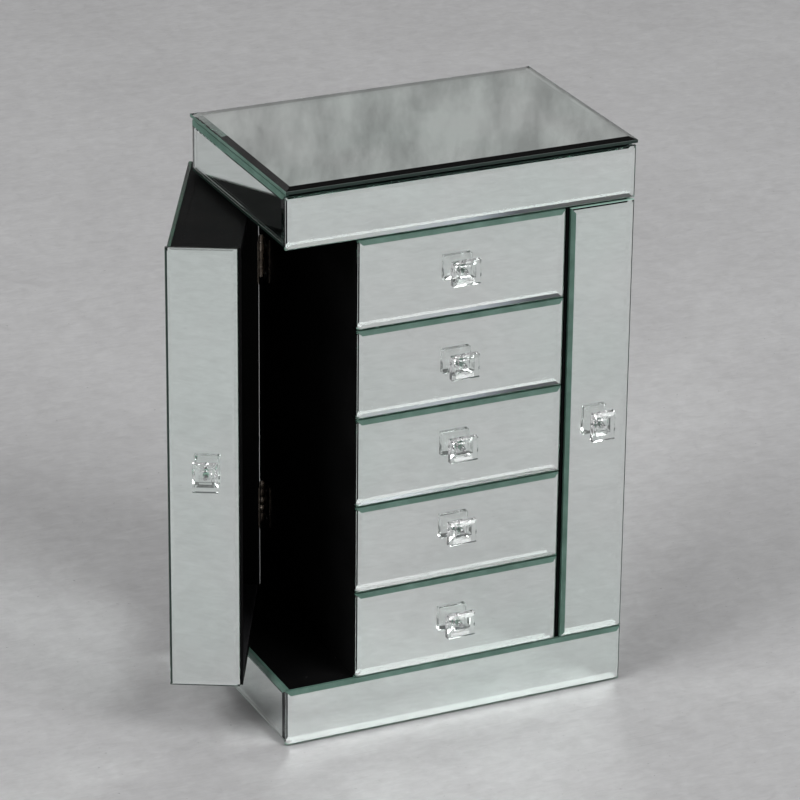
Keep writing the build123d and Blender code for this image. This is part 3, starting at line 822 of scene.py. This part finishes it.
def swollen(loops):
    """The roll after its cloth cover is blown up: its base and its end seams stay sewn down."""
    flat = [point for loop in loops for point in loop]
    large = [[point * SIM_SCALE for point in loop] for loop in loops]
    form = new_object("roll_form", roll_bmesh(large))
    sewn = form.vertex_groups.new(name="sewn")
    held = [i for i, point in enumerate(flat) if point.z < 0.5 * MM]
    held += list(range(ROLL_AROUND)) + list(range(len(flat) - ROLL_AROUND, len(flat)))
    sewn.add(sorted(set(held)), 1.0, "REPLACE")
    cloth = form.modifiers.new("cover", "CLOTH").settings
    cloth.use_pressure = True
    cloth.uniform_pressure_force = COVER_PRESSURE
    cloth.effector_weights.gravity = 0.0
    cloth.vertex_group_mass = "sewn"
    cloth.quality = 6
    scene = bpy.context.scene
    for step in range(1, SIM_FRAMES + 1):
        scene.frame_set(step)
    shown = form.evaluated_get(bpy.context.evaluated_depsgraph_get())
    ends = [vertex.co / SIM_SCALE for vertex in shown.data.vertices]
    scene.frame_set(1)
    bpy.data.objects.remove(form)
    moved = []
    for start, end in zip(flat, ends):
        step = end - start
        moved.append(start + step * min(1.0, SWELL_CAP / max(step.length, 1e-9)))
    return moved


def build_rolls():
    """Eight rolls side by side, from two simulated ones used either way round."""
    low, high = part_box("ring_rolls")
    pitch = (high.y - low.y + ROLL_GAP) / ROLLS
    wide = pitch - ROLL_GAP - 2 * SWELL_CAP + 0.9 * MM
    tall = high.z - low.z - SWELL_CAP + 0.3 * MM
    length = high.x - low.x - 0.6 * MM
    forms = []
    for seed in ROLL_SEEDS:
        loops = roll_points(length, wide, tall, seed)
        forms.append((loops, swollen(loops)))
    bm = bmesh.new()
    for number in range(ROLLS):
        loops, points = forms[number % 2]
        flip = -1 if number // 2 % 2 else 1
        y = low.y + (number + 0.5) * pitch - ROLL_GAP / 2
        centre = Vector((middle(low.x, high.x), y, low.z))
        moved = [centre + Vector((flip * (point.x - length / 2), point.y, point.z))
                 for point in points]
        rings = [[bm.verts.new(point) for point in moved[i:i + ROLL_AROUND]]
                 for i in range(0, len(moved), ROLL_AROUND)]
        for lower, upper in zip(rings, rings[1:]):
            bridge(bm, lower, upper)
        bm.faces.new(rings[0])
        bm.faces.new(rings[-1])
    piece = soft_piece("ring_rolls", bm)
    smooth = piece.modifiers.new("smooth", "SUBSURF")
    smooth.levels = smooth.render_levels = 1


# ---------------------------------------------------------------- hooks and hinge screws
HOOK_WIRE = 1.1 * MM
HOOK_BEND = 4.5 * MM
HOOK_STEM = 9.0 * MM
HOOK_TIP = 3.0 * MM
HOOK_SPACING = 38.0 * MM
RAIL = 4.0 * MM
HOOKS = 3


def tube(bm, path, radius, steps=16):
    """Round wire along a path in the YZ plane, with a domed free end."""
    rings = []
    for i, point in enumerate(path):
        ahead = path[min(i + 1, len(path) - 1)] - path[max(i - 1, 0)]
        along = ahead.normalized()
        side = Vector((1, 0, 0))
        other = along.cross(side)
        size = radius if i < len(path) - 3 else radius * (0.92, 0.66, 0.2)[i - len(path) + 3]
        rings.append([bm.verts.new(point + (side * math.cos(a) + other * math.sin(a)) * size)
                      for a in (2 * math.pi * k / steps for k in range(steps))])
    for lower, upper in zip(rings, rings[1:]):
        bridge(bm, lower, upper)
    bm.faces.new(rings[0])
    bm.faces.new(rings[-1])


def build_hooks():
    for door in DOORS:
        node = f"{door}_hooks"
        low, high = closed_box(node)
        x = middle(low.x, high.x)
        bm = bmesh.new()
        bmesh.ops.create_cube(bm, size=1.0)
        size = Vector((high.x - low.x, high.y - low.y, RAIL))
        centre = Vector((x, middle(low.y, high.y), high.z - RAIL / 2))
        for vertex in bm.verts:
            vertex.co = Vector([vertex.co[i] * size[i] for i in range(3)]) + centre
        bmesh.ops.bevel(bm, geom=bm.edges[:], offset=0.8 * MM, segments=3, affect="EDGES",
                        profile=0.5)
        under = high.z - RAIL
        for i in range(HOOKS):
            top = Vector((x, (i - 1) * HOOK_SPACING, under))
            disc = [(0.0, -0.1 * MM), (2.9 * MM, -0.1 * MM), (2.9 * MM, 0.5 * MM),
                    (1.9 * MM, 1.1 * MM), (HOOK_WIRE, 1.2 * MM)]
            lathe(bm, frame_of(top, (1, 0, 0), (0, -1, 0), (0, 0, -1)), disc, 28)
            bend = top + Vector((0, -HOOK_BEND, 0.5 * MM - HOOK_STEM))
            path = [top + Vector((0, 0, 0.3 * MM)), top + Vector((0, 0, 0.5 * MM - HOOK_STEM))]
            path += [bend + Vector((0, math.cos(a), -math.sin(a))) * HOOK_BEND
                     for a in (math.pi * k / 16 for k in range(1, 17))]
            end = path[-1]
            path += [end + Vector((0, 0, HOOK_TIP * part)) for part in (0.6, 0.85, 1.12, 1.3)]
            tube(bm, path, HOOK_WIRE)
        bmesh.ops.transform(bm, matrix=turn_of(node), verts=bm.verts)
        bmesh.ops.recalc_face_normals(bm, faces=bm.faces)
        for face in bm.faces:
            face.smooth = True
        stands_for(new_object("look_" + node, bm, BRASS_MAT), node)


HINGE_HALF = 16.0 * MM
UPPER_HINGE = 206.0 * MM     # middle of the upper hinge, above the lower end of the lower one
LEAF = 1.0 * MM
SCREW_UP = 32.0 / 3 * MM
SCREW_BACK = 8.4 * MM
SCREW_SUNK = 0.09 * MM       # the leaves fold against each other when a door is closed


def build_hinge_screws():
    """Countersunk heads in the leaves of the door hinges, on the case and on the doors."""
    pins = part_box("hinge_pins")
    heights = (pins[0].z + HINGE_HALF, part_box("case_hinge_leaves")[0].z + UPPER_HINGE)
    outline = [(0.0, -0.45 * MM), (0.42 * MM, -0.45 * MM), (0.50 * MM, -0.08 * MM),
               (1.05 * MM, 0.0), (1.12 * MM, -0.12 * MM), (0.8 * MM, -0.9 * MM),
               (0.0, -0.9 * MM)]
    for door, side in DOORS.items():
        pivot = Vector(joint_of(door + "_hinge")["pos_m"])
        case_face = side * (abs(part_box("case_sides")[0].x) + LEAF)
        door_face = side * (abs(closed_box(door + "_box")[1 if side < 0 else 0].x) - LEAF)
        for owner, x, out in (("carcass", case_face, side), (door, door_face, -side)):
            bm = bmesh.new()
            for z in heights:
                for up in (-SCREW_UP, SCREW_UP):
                    centre = Vector((x - out * SCREW_SUNK, pivot.y - SCREW_BACK, z + up))
                    place = frame_of(centre, (0, out, 0), (0, 0, 1), (out, 0, 0))
                    lathe(bm, place, outline, 24)
            if owner == "left_door":
                bmesh.ops.transform(bm, matrix=LEFT_OPEN, verts=bm.verts)
            bmesh.ops.recalc_face_normals(bm, faces=bm.faces)
            screws = new_object(f"look_{door}_screws_{owner}", bm, STEEL_MAT)
            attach(screws, owner)


def build_boards():
    for node, slot in SLOT_OF.items():
        if slot == "black_board":
            piece = softened(node, 0.35 * MM)
            if node == "case_back":
                piece.data.materials[0] = FLOCK_MAT
        elif slot in ("hinge_brass", "pin_steel"):
            softened(node, 0.12 * MM)


noise.seed_set(7)
build_mirrors()
build_knobs()
build_boards()
build_drawer_linings()
build_door_linings()
build_tray()
build_rolls()
build_hooks()
build_hinge_screws()


# ---------------------------------------------------------------- stage
CAMERA_SIDE = -24.8          # compass degrees of the camera; 0 is straight ahead of the chest
LAMP_ASIDE = 55              # the soft boxes stand this far to either side of the camera
LAMP_UP = 38
LAMP_AWAY = 8.0
LAMP_SIZE = 3.5
LAMPS_AIM = Vector((0, 0, 0.2))
FLOOR_HALF = 9.0
FLOOR_SHADE_SPAN = (1.7, 6.0)      # painted shade: the floor's colour darkens between these distances from the middle
STRIP_ENDS = (22.3, 23.9)    # compass degrees where the lit strip ends, below and above the horizon
HORIZON = 0.42               # brightness of the lit strip at the horizon
ROOM = 0.10                  # brightness of everything around that isn't lit


def make_floor_material():
    """Trowelled plaster: clouds, fine blotches, slanting trowel marks, hairlines and specks, with painted shade
    that darkens it far from the chest.
    """
    floor = Shader("pale_plaster_floor", Roughness=0.7, IOR=1.35)

    def slanted(turn, along, across):
        made = floor.node("ShaderNodeMapping", {
            "Vector": floor.place, "Rotation": (0, 0, turn), "Scale": (along, across, 1.0)})
        return made.outputs[0]

    cloud = floor.noise(5.0, 6, 0.6, distortion=0.5)
    blotch = floor.noise(62, 6, 0.62, distortion=0.6)
    marks = floor.noise(60, 6, 0.68, slanted(0.9, 1.0, 3.6), 0.9)
    total = floor.maths("MULTIPLY", cloud, 0.28)
    total = floor.maths("ADD", total, floor.maths("MULTIPLY", blotch, 0.38))
    total = floor.maths("ADD", total, floor.maths("MULTIPLY", marks, 0.34))
    shade = floor.range(total, 0.38, 0.62, 0.0, 1.0)
    tone = floor.mix(shade, (0.505, 0.502, 0.508, 1), (0.618, 0.618, 0.624, 1))
    hair = floor.noise(16, 3, 0.5, slanted(0.35, 1.0, 34.0), 0.4)
    tone = floor.mix(floor.range(hair, 0.66, 0.72, 0.0, 0.35), tone, (0.42, 0.42, 0.43, 1))
    speck = floor.noise(260, 3, 0.55)
    tone = floor.mix(floor.range(speck, 0.70, 0.76, 0.0, 0.75), tone, (0.26, 0.26, 0.27, 1))
    # Painted shade: the colour goes towards black with distance from the chest.
    reach = floor.node("ShaderNodeVectorMath", {0: floor.place}, operation="LENGTH")
    dim = floor.range(reach.outputs["Value"], *FLOOR_SHADE_SPAN, 0.0, 0.68)
    floor.set("Base Color", floor.mix(dim, tone, grey(0.0)))
    floor.bump(marks, 0.0006, 0.2)
    return floor.material


def add_floor():
    bm = bmesh.new()
    corners = ((-1, -1), (1, -1), (1, 1), (-1, 1))
    bm.faces.new([bm.verts.new((x * FLOOR_HALF, y * FLOOR_HALF, 0)) for x, y in corners])
    floor = new_object("stage_floor", bm, make_floor_material())


def area_light(name, direction_deg, elevation_deg, distance, size, power):
    """Square soft box in a compass direction seen from the chest; 0 looks out of its front."""
    a, e = math.radians(direction_deg), math.radians(elevation_deg)
    out = Vector((math.sin(a) * math.cos(e), -math.cos(a) * math.cos(e), math.sin(e)))
    lamp = bpy.data.lights.new(name, "AREA")
    lamp.shape = "SQUARE"
    lamp.size = size
    lamp.energy = power
    made = bpy.data.objects.new(name, lamp)
    made.location = LAMPS_AIM + out * distance
    made.rotation_mode = "QUATERNION"
    made.rotation_quaternion = (-out).to_track_quat("-Z", "Y")
    bpy.context.scene.collection.objects.link(made)
    return made


class Sky(Shader):
    """The world's nodes, through the same short calls."""

    def __init__(self, name):
        world = bpy.data.worlds.new(name)
        bpy.context.scene.world = world
        world.use_nodes = True
        self.tree = world.node_tree
        self.tree.nodes.clear()
        self.out = self.tree.nodes.new("ShaderNodeOutputWorld")
        self.bsdf = self.tree.nodes.new("ShaderNodeBackground")
        self.link(self.bsdf.outputs[0], self.out.inputs["Surface"])
        self.place = self.tree.nodes.new("ShaderNodeTexCoord").outputs["Generated"]


def make_world():
    """A dim room: dark ceiling, a pale mottled wall behind the chest and a lit strip at the horizon
    that ends a little to the right of straight ahead of the chest."""
    sky = Sky("studio")
    axes = sky.node("ShaderNodeSeparateXYZ", {0: sky.place}).outputs
    to_degrees = 180 / math.pi
    around = sky.maths("ARCTAN2", axes["X"], sky.maths("MULTIPLY", axes["Y"], -1.0))
    around = sky.maths("MULTIPLY", around, to_degrees)
    up = sky.maths("MULTIPLY", sky.maths("ARCSINE", axes["Z"]), to_degrees)
    away = sky.maths("ABSOLUTE", around)
    mottle = sky.range(sky.noise(110, 6, 0.62, sky.scaled(1, 1, 0.45)), 0.36, 0.64, 0.17, 0.32)
    behind = sky.maths("MULTIPLY", sky.range(away, 75, 100, 0.0, 1.0), mottle)
    rear = sky.maths("MULTIPLY", sky.range(up, 2, 9, 0.0, 1.0), sky.range(up, 33, 42, 1.0, 0.0))
    rear = sky.maths("MULTIPLY", rear, behind)
    past = sky.maths("SUBTRACT", around, sky.range(up, -0.6, 1.6, *STRIP_ENDS))
    ahead = sky.range(past, 0.0, 0.8, 1.0, 0.0)
    ahead = sky.maths("MULTIPLY", ahead, sky.range(around, -70, -55, 0.0, 1.0))
    strip = sky.maths("MULTIPLY", sky.range(sky.maths("ABSOLUTE", up), 5, 9, HORIZON, 0.0), ahead)
    room = sky.maths("ADD", sky.maths("MAXIMUM", rear, strip), ROOM)
    sky.set("Strength", room)
    blue = sky.range(past, -1.6, 0.4, 0.0, 1.0)
    blue = sky.maths("MULTIPLY", blue, sky.range(past, 0.8, 1.6, 1.0, 0.0))
    sky.set("Color", sky.mix(blue, (1.0, 0.995, 0.99, 1), (0.84, 0.89, 1.0, 1)))


CAMERA_AT = Vector((-1.1418, -2.4530, 1.3749))
CAMERA_LOOKS = Vector((0.38550, 0.83339, -0.39603))
CAMERA_RIGHT = Vector((0.90931, -0.41600, 0.00972))
CAMERA_LENS = 188.2


def add_camera():
    camera = bpy.data.cameras.new("camera")
    camera.lens = CAMERA_LENS
    camera.sensor_width = 36.0
    made = bpy.data.objects.new("camera", camera)
    out = -CAMERA_LOOKS.normalized()
    right = CAMERA_RIGHT.normalized()
    up = out.cross(right).normalized()
    right = up.cross(out)
    pose = Matrix((right, up, out)).transposed().to_4x4()
    pose.translation = CAMERA_AT
    made.matrix_world = pose
    camera.clip_start, camera.clip_end = 0.05, 60.0
    bpy.context.scene.collection.objects.link(made)
    bpy.context.scene.camera = made


def light_paths():
    """Enough bounces for light to get out of glass that lies on a mirror."""
    cycles = bpy.context.scene.cycles
    cycles.max_bounces = 28
    cycles.glossy_bounces = 16
    cycles.transmission_bounces = 20
    cycles.blur_glossy = 0.0
    view = bpy.context.scene.view_settings
    view.view_transform = "Standard"


add_floor()
area_light("soft_box_left", CAMERA_SIDE - LAMP_ASIDE, LAMP_UP, LAMP_AWAY, LAMP_SIZE, 245)
area_light("soft_box_right", CAMERA_SIDE + LAMP_ASIDE, LAMP_UP, LAMP_AWAY, LAMP_SIZE, 280)
overhead = area_light("overhead", 0, 90, 4.0, 5.0, 50)
overhead.visible_glossy = False
overhead.visible_transmission = False
make_world()
add_camera()
light_paths()
